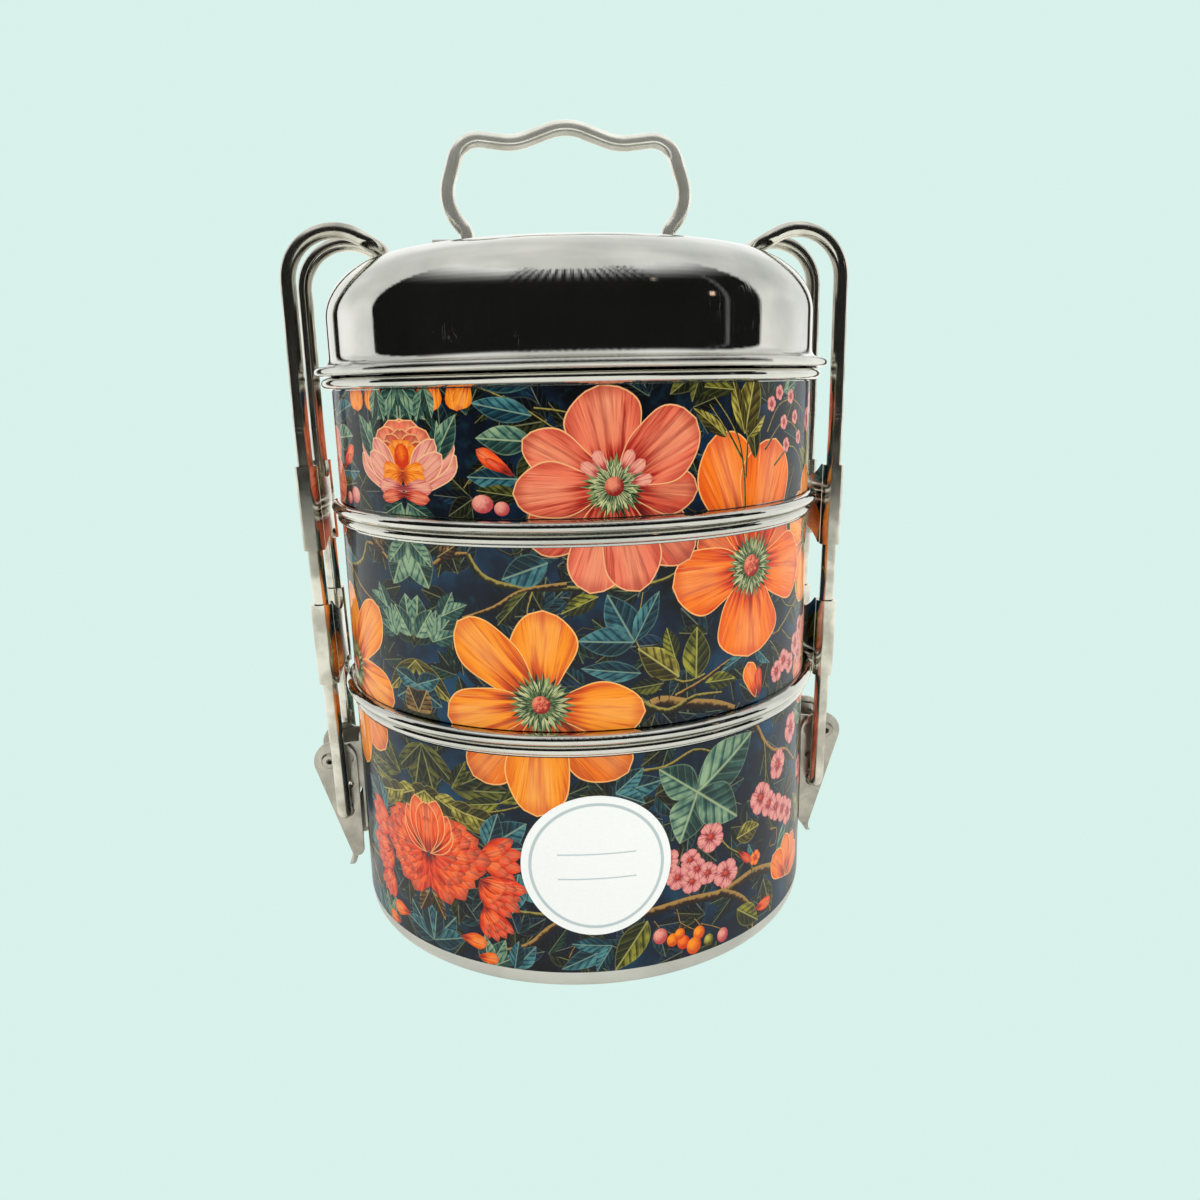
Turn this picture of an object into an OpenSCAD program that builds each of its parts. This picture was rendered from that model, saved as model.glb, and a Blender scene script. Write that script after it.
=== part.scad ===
// Tiffin carrier: three nested steel tiers under a domed lid, clamped by two wire loops
// that are pulled down over the lid by levers on the bottom tier.
// Millimetres, +Z up, origin on the axis at the underside. The clamps stand on the X axis.

/* [Tiers] */
// Outside radius of a tier, over its printed film
body_r = 65; // [63:0.5:66]
// Thickness of the steel sheet
sheet_t = 0.8; // [0.7:0.05:0.9]
// Thickness of the printed film
film_t = 0.25; // [0.15:0.05:0.3]
// Height of the bottom tier, base to rim
bottom_h = 67.7; // [66:0.1:72]
// Height of the middle tier, base to rim
middle_h = 52.8; // [52:0.1:56]
// Height of the top tier, base to rim
top_h = 35.3; // [34:0.1:38]
// How deep a tier sits in the rim below it
nest = 3.4; // [3.2:0.1:3.6]
// Radius of the corner between base and wall
corner_r = 3; // [2.8:0.1:3]

/* [Rims] */
// Outside radius of the rolled bead on a rim
bead_r = 67.5; // [67:0.1:67.6]
// Height of the rolled bead
bead_h = 3.2; // [3:0.1:3.4]
// Height of the pressed ridge under the bead
ridge_h = 2.6; // [2.2:0.1:2.8]
// How far the pressed ridge stands out of the wall
ridge_out = 1.45; // [1:0.05:1.5]

/* [Lid] */
// Outside radius of the lid's flange
flange_r = 69.15; // [68.6:0.05:69.2]
// Height of the flange
flange_h = 2.3; // [2:0.1:2.4]
// Height at which the wall turns into the shoulder, above the flange's underside
shoulder_z = 14; // [13:0.5:14]
// Width of the shoulder's curve
shoulder_w = 19.5; // [19:0.5:20]
// Height of the shoulder's curve
shoulder_h = 15.7; // [15.4:0.1:15.8]
// Rise of the crown above the shoulder
crown_h = 0.6; // [0.5:0.1:1.2]
// Radius of the flat top
crown_flat_r = 38; // [37.5:0.5:40]

/* [Wires] */
// Radius of the wire
wire_r = 2; // [2:0.05:2.05]
// Distance of a straight leg from the axis, beside the lid
leg_x = 72.6; // [72.4:0.1:73]
// Half the spacing between the two legs of a loop
leg_y = 11.2; // [11.2:0.05:11.3]
// Radius of the hook over the lid
hook_r = 12.4; // [12:0.1:12.6]
// Turn of the hook, from its leg to its crossbar
hook_deg = 120; // [119:1:121]

/* [Levers] */
// Pivot of a lever, out from the axis
pivot_x = 73.8; // [73.7:0.05:73.9]
// Pivot of a lever, above the base
pivot_z = 41.8; // [41.5:0.1:42.2]
// Wire seat in a lever, out from the axis
seat_x = 70.3; // [70.2:0.05:70.4]
// Wire seat in a lever, above the base
seat_z = 26.2; // [26:0.1:26.5]
// Half the outside width of a lever
lever_y = 8.2; // [8.1:0.05:8.2]

/* [Handle] */
// Height of the handle's peak above its pivot
handle_h = 30.5; // [30:0.1:31]

/* [Bridges] */
// Left upper bridge's height along the wires, from the wire seat
left_upper_s = 89; // [84:0.5:91]
// Left lower bridge's height along the wires, from the wire seat
left_lower_s = 51.5; // [45:0.5:55]
// Right upper bridge's height along the wires, from the wire seat
right_upper_s = 85; // [84:0.5:91]
// Right lower bridge's height along the wires, from the wire seat
right_lower_s = 46; // [45:0.5:55]

/* [Hidden] */
$fn = 96;

// Tiers
steel_r = body_r - film_t;
inner_r = steel_r - sheet_t;
neck_r = steel_r + 0.3;
foot_in_r = 55;
foot_rise = 0.8;
film_z = 5;
film_gap = 0.5;
middle_z = bottom_h - nest;
top_z = middle_z + middle_h - nest;
// Height above a base at which its rounded corner meets the inner wall of the tier below
corner_touch = corner_r - sqrt(corner_r * corner_r - pow(corner_r - sheet_t, 2));
seat_gap = 0.05;
seat_depth = nest - corner_touch + seat_gap;

// Label
label_r = 18.2;
label_t = 0.12;
label_z = 33.5;
label_deg = -92.5;

// Lid
lid_z = top_z + top_h + 0.1;
lid_wall_r = body_r + 0.15;
plug_r = inner_r - 0.35;
plug_h = 4.2;
flare = 2.5;
shoulder_r = lid_wall_r - shoulder_w;
lid_top = lid_z + shoulder_z + shoulder_h + crown_h;

// The wire swells slightly where a bend starts
wire_swell = 0.02;

// Wire loop, in the plane of one leg
bar_bend_r = 5;
bar_half = leg_y - bar_bend_r;
bar_x = leg_x - hook_r * (1 - cos(hook_deg)) - bar_bend_r * sin(hook_deg);
lid_at_bar = lid_z + shoulder_z
    + shoulder_h * sqrt(1 - pow((bar_x - shoulder_r) / shoulder_w, 2));
bar_gap = 0.35;
bar_z = lid_at_bar + wire_r + bar_gap;
hook_z = bar_z - hook_r * sin(hook_deg) - bar_bend_r * cos(hook_deg);
knee_r = 60;
knee_z = 136;
lean = atan((leg_x - seat_x) / (knee_z - seat_z));
foot_bend_r = 2.8;
stub = 3;
leg_len = (knee_z - seat_z) / cos(lean) - foot_bend_r - knee_r * tan(lean / 2);

// Bridges between the legs
bridge_h = 22.5;
bridge_waist_h = 14.5;
roll_r = 2.9;
bridge_in = 3.5;
bridge_t = 0.8;

// Lever and its bracket
lever_t = 1;
head_c = [72.2, 41.5];
head_r = 6;
tip_c = [68, 13.4];
tip_r = 1.8;
seat_r = 2.3;
tab_r = 5.6;
tab_deg = 66;
ear_y = 7;
ear_t = 1;
ear_r = 3.5;
rivet_r = 1.5;
rivet_head_r = 2.4;
rivet_head_t = 0.75;
bracket_t = 0.9;
bracket_low = 20;
bracket_high = 48;

// Handle, laid out from its peak down to one foot; each fall is an angle below the level
handle_z = lid_top + wire_r + 0.1;
crest_fall = 20;
dip_fall = -6.5;
side_fall = 72.5;
leg_fall = 130;
crest_r = 14;
crest_run = 6;
dip_r = 14;
dip_run = 5.5;
shoulder_bend_r = 6.8;
side_run = 5.8;
bulge_r = 10.9;
foot_r = 3.3;
drop_above_leg = crest_r * (1 - cos(crest_fall)) + crest_run * sin(crest_fall)
    + dip_r * (cos(dip_fall) - cos(crest_fall)) + dip_run * sin(dip_fall)
    + shoulder_bend_r * (cos(dip_fall) - cos(side_fall)) + side_run * sin(side_fall)
    + bulge_r * (cos(side_fall) - cos(leg_fall));
leg_run = (handle_h - drop_above_leg - foot_r * (1 - cos(leg_fall))) / sin(leg_fall);
foot_run = 6.4;

// Straps that hold the handle's feet
strap_x = 33.4;
strap_w = 6;
strap_t = 0.8;
strap_foot = 2.5;

function arc(c, rx, ry, from, to, n = 14) =
    [for (i = [0:n]) let (a = from + (to - from) * i / n) c + [rx * cos(a), ry * sin(a)]];

// ---- Shared shapes ----

// A tube of revolution between two radii
module ring(outer, inner, low, high) {
    translate([0, 0, low])
        difference() {
            cylinder(r = outer, h = high - low);
            translate([0, 0, -1]) cylinder(r = inner, h = high - low + 2);
        }
}

// A wire bent like a turtle's path: it starts at the origin along +Z, and each step is
// [straight length, bend radius, bend angle, turn about its own axis before the bend]
module bent_wire(steps, i = 0) {
    if (i < len(steps)) {
        run = steps[i][0];
        r = steps[i][1];
        a = steps[i][2];
        sphere(r = wire_r + wire_swell, $fn = 48);
        if (run > 0) cylinder(r = wire_r, h = run, $fn = 48);
        translate([0, 0, run])
            rotate([0, 0, steps[i][3]]) {
                if (a > 0 && run > 0) sphere(r = wire_r + wire_swell, $fn = 48);
                if (a > 0)
                    translate([r, 0, 0])
                        rotate([90, 0, 0])
                            rotate([0, 0, 180 - a])
                                rotate_extrude(angle = a)
                                    translate([r, 0]) circle(r = wire_r, $fn = 48);
                translate([r * (1 - cos(a)), 0, r * sin(a)])
                    rotate([0, a, 0]) bent_wire(steps, i + 1);
            }
    }
}

// Puts the children on the right side, or mirrors them onto the left
module side(left) {
    mirror([left ? 1 : 0, 0, 0]) children();
}

// Draws a profile given in X and Z, as a plate centred on Y = y
module plate(y, t) {
    translate([0, y + t / 2, 0])
        rotate([90, 0, 0])
            linear_extrude(t) children();
}

// ---- Tiers ----

// One steel tier: base with a foot ring, wall, pressed ridge and rolled bead with a seat inside
module container(h, ridged) {
    ridge_z = h - bead_h - ridge_h / 2;
    inner_corner = corner_r - sheet_t;
    rotate_extrude($fn = 192)
        polygon(concat(
            [[0, foot_rise], [foot_in_r - 1.6, foot_rise], [foot_in_r, 0]],
            arc([steel_r - corner_r, corner_r], corner_r, corner_r, -90, 0),
            ridged ? arc([steel_r, ridge_z], ridge_out, ridge_h / 2, -90, 90)
                   : [[steel_r, h - bead_h]],
            arc([neck_r, h - bead_h / 2], bead_r - neck_r, bead_h / 2, -90, 90, 20),
            [[neck_r, h - seat_depth], [inner_r, h - seat_depth]],
            ridged ? arc([inner_r, ridge_z], ridge_out - 0.5, ridge_h / 2 - 0.5, 90, -90) : [],
            arc([inner_r - inner_corner, corner_r], inner_corner, inner_corner, 0, -90, 8),
            [[foot_in_r + 0.5, sheet_t], [foot_in_r - 1.2, foot_rise + sheet_t],
             [0, foot_rise + sheet_t]]
        ));
}

module bottom_container() {
    color([0.78, 0.78, 0.77]) container(bottom_h, true);
}

module middle_container() {
    color([0.78, 0.78, 0.77]) translate([0, 0, middle_z]) container(middle_h, true);
}

module top_container() {
    color([0.78, 0.78, 0.77]) translate([0, 0, top_z]) container(top_h, false);
}

// The printed film round a wall, up to just under the ridge or the bead
module film(h, ridged) {
    high = h - bead_h - (ridged ? ridge_h : 0) - (ridged ? film_gap : 0.2);
    ring(body_r, steel_r, film_z, high);
}

module bottom_film() {
    window_y = lever_y + 0.4;
    color([0.16, 0.3, 0.36])
        difference() {
            film(bottom_h, true);
            for (s = [-1, 1])
                translate([s * body_r - 5, -window_y, bracket_low - 1])
                    cube([10, 2 * window_y, bracket_high - bracket_low + 2]);
        }
}

module middle_film() {
    color([0.16, 0.3, 0.36]) translate([0, 0, middle_z]) film(middle_h, true);
}

module top_film() {
    color([0.16, 0.3, 0.36]) translate([0, 0, top_z]) film(top_h, false);
}

// A round paper label stuck on the bottom tier's film
module round_label() {
    color([0.95, 0.96, 0.95])
        intersection() {
            ring(body_r + label_t, body_r, label_z - label_r - 1, label_z + label_r + 1);
            rotate([0, 0, label_deg])
                translate([0, 0, label_z])
                    rotate([0, 90, 0]) cylinder(r = label_r, h = body_r + 5);
        }
}

// ---- Lid and handle ----

module lid_shell() {
    in = sheet_t;
    rise_steps = 6;
    crown = [for (i = [1:rise_steps]) let (t = i / rise_steps)
        [shoulder_r + (crown_flat_r - shoulder_r) * t, crown_h * (1 - cos(180 * t)) / 2]];
    top = shoulder_z + shoulder_h;
    color([0.8, 0.8, 0.79])
        translate([0, 0, lid_z])
            rotate_extrude($fn = 192)
                polygon(concat(
                    [[plug_r - in, -plug_h], [plug_r, -plug_h], [plug_r, 0]],
                    arc([flange_r - 1.25, flange_h / 2], 1.25, flange_h / 2, -90, 90),
                    arc([lid_wall_r + flare, flange_h + flare], flare, flare, -90, -180, 8),
                    arc([shoulder_r, shoulder_z], shoulder_w, shoulder_h, 0, 90, 28),
                    [for (p = crown) p + [0, top]],
                    [[0, top + crown_h], [0, top + crown_h - in]],
                    [for (i = [len(crown) - 1:-1:0]) crown[i] + [0, top - in]],
                    arc([shoulder_r, shoulder_z], shoulder_w - in, shoulder_h - in, 90, 0, 28),
                    [[lid_wall_r - in, flange_h + 1], [plug_r - in, flange_h - 1]]
                ));
}

// A pressed saddle over the handle's foot, with a flange on each side welded to the lid
module handle_strap(left) {
    bore = wire_r + 0.06;
    outer = bore + strap_t;
    side(left)
        color([0.72, 0.72, 0.7])
            translate([strap_x - strap_w / 2, 0, handle_z])
                difference() {
                    union() {
                        rotate([0, 90, 0]) cylinder(r = outer, h = strap_w);
                        translate([0, -outer, lid_top - handle_z])
                            cube([strap_w, 2 * outer, handle_z - lid_top]);
                        translate([0, -outer - strap_foot, lid_top - handle_z])
                            cube([strap_w, 2 * (outer + strap_foot), strap_t]);
                    }
                    translate([-1, 0, 0]) rotate([0, 90, 0]) cylinder(r = bore, h = strap_w + 2);
                    translate([-1, -bore, lid_top - handle_z - 1])
                        cube([strap_w + 2, 2 * bore, handle_z - lid_top + 1]);
                    translate([-1, -outer - strap_foot - 1, lid_top - handle_z - outer])
                        cube([strap_w + 2, 2 * (outer + strap_foot + 1), outer]);
                }
}

// Steps of half the handle, from its peak outwards: crest, dip, shoulder, bulge and foot
function handle_half() = [
    [0, crest_r, crest_fall, 0],
    [crest_run, dip_r, crest_fall - dip_fall, 180],
    [dip_run, shoulder_bend_r, side_fall - dip_fall, 180],
    [side_run, bulge_r, leg_fall - side_fall, 0],
    [leg_run, foot_r, leg_fall, 180],
    [foot_run, 1, 0, 0]
];

module carry_handle() {
    color([0.76, 0.76, 0.74])
        translate([0, 0, handle_z + handle_h])
            for (turn = [0, 180])
                rotate([0, 0, turn])
                    rotate([0, 90, 0]) bent_wire(handle_half());
}

// ---- Clamp ----

// Places the children on a leg's line, s above the wire seat
module on_leg(s) {
    translate([seat_x, 0, seat_z])
        rotate([0, lean, 0])
            translate([0, 0, s]) children();
}

// A wire loop: crossbar on the lid, hooks, leaning legs and stubs in the lever's seats
module wire_loop(left) {
    side(left)
        color([0.7, 0.7, 0.68])
            for (m = [0, 1])
                mirror([0, m, 0])
                    translate([bar_x, 0, bar_z])
                        rotate([90, 0, 0])
                            rotate([0, 0, hook_deg - 90])
                                bent_wire([
                                    [bar_half, bar_bend_r, 90, 0],
                                    [0, hook_r, hook_deg, -90],
                                    [hook_z - knee_z - knee_r * tan(lean / 2), knee_r, lean, 0],
                                    [leg_len, foot_bend_r, 90, 90],
                                    [leg_y - foot_bend_r - lever_y + stub, 1, 0, 0]
                                ]);
}

// A sheet bridge rolled round both legs and dished towards the tiers
module bridge(left, s) {
    dish_half = leg_y - 1;
    dish_depth = 1.5;
    dish_r = (dish_half * dish_half + dish_depth * dish_depth) / (2 * dish_depth);
    notch = (bridge_h - bridge_waist_h) / 2;
    notch_half = leg_y - roll_r;
    notch_r = (notch_half * notch_half + notch * notch) / (2 * notch);
    side(left)
        color([0.7, 0.7, 0.68])
            on_leg(s)
                translate([0, 0, -bridge_h / 2])
                    difference() {
                        union() {
                            for (y = [-leg_y, leg_y])
                                translate([0, y, 0]) cylinder(r = roll_r, h = bridge_h, $fn = 48);
                            intersection() {
                                translate([dish_r - bridge_in, 0, 0])
                                    difference() {
                                        cylinder(r = dish_r, h = bridge_h);
                                        translate([0, 0, -1])
                                            cylinder(r = dish_r - bridge_t, h = bridge_h + 2);
                                    }
                                translate([-bridge_in - 1, -leg_y, 0])
                                    cube([bridge_in + 2, 2 * leg_y, bridge_h]);
                            }
                        }
                        for (y = [-leg_y, leg_y])
                            translate([0, y, -1])
                                cylinder(r = wire_r + 0.05, h = bridge_h + 2, $fn = 48);
                        for (z = [notch - notch_r, bridge_h - notch + notch_r])
                            translate([-10, 0, z])
                                rotate([0, 90, 0]) cylinder(r = notch_r, h = 20);
                    }
}

// Outer tangent between the lever's head and tip circles, and its direction
lever_axis = tip_c - head_c;
lever_len = norm(lever_axis);
lever_turn = acos((head_r - tip_r) / lever_len);
axis_deg = atan2(lever_axis[1], lever_axis[0]);
outer_deg = axis_deg + lever_turn;
inner_deg = axis_deg - lever_turn;
function on_circle(c, r, a) = c + r * [cos(a), sin(a)];

module lever_outline() {
    translate(head_c) circle(r = head_r);
    translate(tip_c) circle(r = tip_r);
    polygon([
        on_circle(head_c, head_r, outer_deg), on_circle(tip_c, tip_r, outer_deg),
        on_circle(tip_c, tip_r, inner_deg), on_circle(head_c, head_r, inner_deg)
    ]);
}

// Three seats for the wire, joined by narrower necks
seats = [[seat_x, seat_z], [69.8, 34.6], [69, 42.4]];
module seat_slot() {
    neck = 1.5;
    for (p = seats) translate(p) circle(r = p == seats[2] ? seat_r - 0.2 : seat_r, $fn = 48);
    for (i = [0, 1]) {
        d = seats[i + 1] - seats[i];
        n = neck * [-d[1], d[0]] / norm(d);
        polygon([seats[i] + n, seats[i] - n, seats[i + 1] - n, seats[i + 1] + n]);
    }
}

// A lever: two cheeks with wire seats, a web along their outer edge and a curled finger tab
module lever(left) {
    out = [cos(outer_deg), sin(outer_deg)];
    foot = on_circle(tip_c, tip_r, outer_deg);
    web_top = on_circle(head_c, head_r, outer_deg) + 5 * [sin(outer_deg), -cos(outer_deg)];
    tab_c = foot + tab_r * out;
    web_in = lever_t * out;
    side(left)
        color([0.74, 0.74, 0.71]) {
            for (y = [-1, 1])
                difference() {
                    plate(y * (lever_y - lever_t / 2), lever_t) lever_outline();
                    plate(y * (lever_y - lever_t / 2), lever_t + 2) seat_slot();
                    plate(y * (lever_y - lever_t / 2), lever_t + 2)
                        translate([pivot_x, pivot_z]) circle(r = rivet_r + 0.06, $fn = 48);
                }
            plate(0, 2 * (lever_y - lever_t))
                polygon([web_top, foot, foot - web_in, web_top - web_in]);
            intersection() {
                translate([tab_c[0], 0, tab_c[1]])
                    rotate([90, 0, 0])
                        translate([0, 0, -lever_y])
                            rotate([0, 0, outer_deg + 180])
                                rotate_extrude(angle = tab_deg)
                                    translate([tab_r, 0]) square([lever_t, 2 * lever_y]);
                translate([0, 0, foot[1] + 1])
                    rotate([0, 90, 0]) cylinder(r = lever_y, h = 100);
            }
        }
}

module latch_bracket(left) {
    low = [steel_r, 32];
    high = [steel_r, bracket_high - 1];
    side(left)
        color([0.7, 0.7, 0.68]) {
            intersection() {
                ring(steel_r + bracket_t, steel_r, bracket_low, bracket_high);
                translate([steel_r - 5, -ear_y, bracket_low])
                    cube([10, 2 * ear_y, bracket_high - bracket_low]);
            }
            for (y = [-1, 1])
                difference() {
                    plate(y * (ear_y - ear_t / 2), ear_t) {
                        translate([pivot_x, pivot_z]) circle(r = ear_r);
                        polygon([low, on_circle([pivot_x, pivot_z], ear_r, -62),
                                 on_circle([pivot_x, pivot_z], ear_r, 80), high]);
                    }
                    plate(y * (ear_y - ear_t / 2), ear_t + 2)
                        translate([pivot_x, pivot_z]) circle(r = rivet_r + 0.02, $fn = 48);
                    translate([0, 0, bracket_low - 1])
                        cylinder(r = steel_r, h = bracket_high - bracket_low + 2, $fn = 192);
                }
        }
}

// A tubular rivet through the bracket's ears and the lever's cheeks
module pivot_rivet(left) {
    head_y = lever_y + 0.05;
    side(left)
        color([0.66, 0.66, 0.64])
            translate([pivot_x, 0, pivot_z])
                rotate([90, 0, 0])
                    difference() {
                        union() {
                            translate([0, 0, -head_y]) cylinder(r = rivet_r, h = 2 * head_y, $fn = 48);
                            for (m = [0, 1])
                                mirror([0, 0, m])
                                    translate([0, 0, head_y])
                                        cylinder(r1 = rivet_head_r, r2 = rivet_head_r - 0.5,
                                                 h = rivet_head_t, $fn = 48);
                        }
                        for (m = [0, 1])
                            mirror([0, 0, m])
                                translate([0, 0, head_y - 1])
                                    cylinder(r = 0.85, h = 3, $fn = 32);
                    }
}

bottom_container();
bottom_film();
middle_container();
middle_film();
top_container();
top_film();
round_label();
lid_shell();
handle_strap(true);  // left_handle_strap
handle_strap(false);  // right_handle_strap
carry_handle();
latch_bracket(true);  // left_latch_bracket
latch_bracket(false);  // right_latch_bracket
pivot_rivet(true);  // left_pivot_rivet
pivot_rivet(false);  // right_pivot_rivet
lever(true);  // left_lever
lever(false);  // right_lever
wire_loop(true);  // left_wire_loop
wire_loop(false);  // right_wire_loop
bridge(true, left_upper_s);  // left_upper_bridge
bridge(true, left_lower_s);  // left_lower_bridge
bridge(false, right_upper_s);  // right_upper_bridge
bridge(false, right_lower_s);  // right_lower_bridge
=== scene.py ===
import math
from collections import namedtuple

import bmesh
import bpy
import numpy as np
from mathutils import Matrix, Vector
from mathutils.geometry import delaunay_2d_cdt


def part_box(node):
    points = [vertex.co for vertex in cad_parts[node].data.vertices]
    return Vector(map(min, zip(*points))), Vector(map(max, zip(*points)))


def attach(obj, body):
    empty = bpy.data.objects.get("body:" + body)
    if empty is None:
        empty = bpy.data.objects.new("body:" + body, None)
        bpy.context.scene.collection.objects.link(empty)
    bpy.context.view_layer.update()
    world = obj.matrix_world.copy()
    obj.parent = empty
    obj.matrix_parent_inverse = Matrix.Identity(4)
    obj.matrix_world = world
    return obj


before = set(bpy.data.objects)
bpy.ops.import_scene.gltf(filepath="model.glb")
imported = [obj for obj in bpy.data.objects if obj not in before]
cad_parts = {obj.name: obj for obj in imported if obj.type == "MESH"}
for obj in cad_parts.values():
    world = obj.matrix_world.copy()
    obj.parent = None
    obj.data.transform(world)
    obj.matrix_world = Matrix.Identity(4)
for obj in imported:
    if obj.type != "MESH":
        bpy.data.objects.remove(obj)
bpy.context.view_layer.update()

MM = 0.001


def srgb(r, g, b):
    """An 8-bit sRGB colour as linear light, with alpha."""
    linear = [(c / 255) ** 2.2 for c in (r, g, b)]
    return (*linear, 1.0)


def ink(*levels):
    """An ink's deep and light colours, from the levels of one and then the other."""
    return srgb(*levels[:3]), srgb(*levels[3:])


# ---------------- sizes from the frame

BODY_OF = {"bottom_film": "bottom_tier", "middle_film": "middle_tier", "top_film": "top_tier"}
FILMS = tuple(BODY_OF)
# The upper tiers' print runs on below the film's edge, nearly to the rim they stand in
PRINT_DROP = {"bottom_film": 0.0, "middle_film": 1.4, "top_film": 1.4}
# Lowest and highest level of each tier's print
BANDS = {name: (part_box(name)[0].z / MM - PRINT_DROP[name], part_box(name)[1].z / MM) for name in FILMS}
BODY_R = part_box("middle_film")[1].x / MM
# How far the print lies above its film
PRINT_LIFT = 0.03
GIRTH = 2 * math.pi * BODY_R
HALF_TURN = GIRTH / 2
QUARTER_TURN = GIRTH / 4
# Openings in the bottom print where the latch brackets are welded to the steel
WINDOW_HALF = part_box("right_lever")[1].y / MM + 0.4
WINDOW_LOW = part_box("right_latch_bracket")[0].z / MM - 1
WINDOW_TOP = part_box("right_latch_bracket")[1].z / MM + 1
LABEL_LOW, LABEL_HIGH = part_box("round_label")


# ---------------- material helpers


class Nodes:
    """Adds nodes to a new material, each call returning the node's first output."""

    def __init__(self, name):
        self.material = bpy.data.materials.new(name)
        self.material.use_nodes = True
        self.tree = self.material.node_tree
        self.tree.nodes.clear()
        self.shader = self.add("ShaderNodeBsdfPrincipled")
        out = self.add("ShaderNodeOutputMaterial")
        self.tree.links.new(self.shader.outputs[0], out.inputs["Surface"])

    def add(self, kind, **settings):
        """A new node of a kind, with its settings."""
        node = self.tree.nodes.new(kind)
        for key, value in settings.items():
            setattr(node, key, value)
        return node

    def put(self, value, socket):
        """Feeds a socket from another node's output, or sets it to a constant."""
        if isinstance(value, bpy.types.NodeSocket):
            self.tree.links.new(value, socket)
        else:
            socket.default_value = value

    def set(self, **values):
        """Sets the shader's sockets; spaces in their names are written as underscores."""
        for key, value in values.items():
            self.put(value, self.shader.inputs[key.replace("_", " ")])

    def math(self, operation, a, b=0.0):
        """One arithmetic operation on sockets or numbers."""
        node = self.add("ShaderNodeMath", operation=operation)
        self.put(a, node.inputs[0])
        self.put(b, node.inputs[1])
        return node.outputs[0]

    def times(self, a, b):
        return self.math("MULTIPLY", a, b)

    def plus(self, a, b):
        return self.math("ADD", a, b)

    def minus(self, a, b):
        return self.math("SUBTRACT", a, b)

    def magnitude(self, a):
        """The value without its sign."""
        return self.math("ABSOLUTE", a)

    def far(self, x, y):
        """How far (x, y) lies from the origin."""
        return self.math("SQRT", self.plus(self.times(x, x), self.times(y, y)))

    def mix(self, factor, a, b):
        """The colour a share of the way from a to b."""
        node = self.add("ShaderNodeMix", data_type="RGBA")
        self.put(factor, node.inputs[0])
        self.put(a, node.inputs[6])
        self.put(b, node.inputs[7])
        return node.outputs[2]

    def span(self, value, low, high, to_low=0.0, to_high=1.0):
        """value moved from low..high to to_low..to_high, with smooth ends."""
        node = self.add("ShaderNodeMapRange", interpolation_type="SMOOTHSTEP")
        for socket, number in zip(node.inputs, (value, low, high, to_low, to_high)):
            self.put(number, socket)
        return node.outputs[0]

    def vector(self, x, y, z=0.0):
        node = self.add("ShaderNodeCombineXYZ")
        for socket, number in zip(node.inputs, (x, y, z)):
            self.put(number, socket)
        return node.outputs[0]

    def split(self, vector):
        node = self.add("ShaderNodeSeparateXYZ")
        self.put(vector, node.inputs[0])
        return node.outputs

    def noise(self, vector, scale, detail=3.0):
        """Cloudy noise about 0.5, with scale clouds to each unit of the vector."""
        node = self.add("ShaderNodeTexNoise")
        self.put(vector, node.inputs["Vector"])
        node.inputs["Scale"].default_value = scale
        node.inputs["Detail"].default_value = detail
        node.inputs["Roughness"].default_value = 0.55
        return node.outputs["Fac"]

    def grain(self, *stretched, detail):
        """Noise over up to three (value, scale) pairs."""
        values = [self.times(value, scale) for value, scale in stretched]
        return self.noise(self.vector(*values), 1.0, detail)

    def place(self):
        """Position on the object at rest, in metres, and its x, y and z."""
        coord = self.add("ShaderNodeTexCoord").outputs["Object"]
        return coord, self.split(coord)

    def attribute(self, name, output="Fac"):
        """A value stored on the mesh's corners."""
        return self.add("ShaderNodeAttribute", attribute_name=name).outputs[output]

    def turn_normal(self, rounding):
        """The surface's normal with small steps rounded and flats round the Z axis smoothed out."""
        bevel = self.add("ShaderNodeBevel", samples=4)
        bevel.inputs["Radius"].default_value = rounding
        inward = self.add("ShaderNodeVectorTransform", vector_type="NORMAL", convert_from="WORLD",
                          convert_to="OBJECT")
        self.put(bevel.outputs[0], inward.inputs[0])
        nx, ny, nz = self.split(inward.outputs[0])
        _, (x, y, z) = self.place()
        radius = self.math("MAXIMUM", self.far(x, y), MM)
        x, y = self.math("DIVIDE", x, radius), self.math("DIVIDE", y, radius)
        spread = self.plus(self.times(nx, x), self.times(ny, y))
        outward = self.add("ShaderNodeVectorTransform", vector_type="NORMAL", convert_from="OBJECT",
                           convert_to="WORLD")
        smoothed = self.vector(self.times(spread, x), self.times(spread, y), nz)
        self.put(smoothed, outward.inputs[0])
        return outward.outputs[0]

    def bump(self, height, distance, strength=1.0, normal=None):
        """Tilts the shader's normal by a height field, distance metres high at most."""
        node = self.add("ShaderNodeBump")
        self.put(height, node.inputs["Height"])
        if normal is not None:
            self.put(normal, node.inputs["Normal"])
        node.inputs["Distance"].default_value = distance
        node.inputs["Strength"].default_value = strength
        self.put(node.outputs[0], self.shader.inputs["Normal"])


def around_axis(n):
    """Position, angle round the Z axis from the back, and distance from it and height in metres."""
    coord, (x, y, z) = n.place()
    return coord, n.math("ARCTAN2", x, y), n.far(x, y), z


def scratches(n, coord, scale, width):
    """Thin stray scratches: the zero lines of a stretched noise, where a coarser one allows."""
    stretched = n.vector(*(n.times(c, s) for c, s in zip(n.split(coord), (1, 1, 0.15))))
    field = n.noise(stretched, scale, 1.0)
    line = n.span(n.magnitude(n.minus(field, 0.5)), 0.0, width, 1.0, 0.0)
    patch = n.span(n.noise(coord, scale * 0.23, 2.0), 0.55, 0.7)
    return n.times(line, patch)


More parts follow.
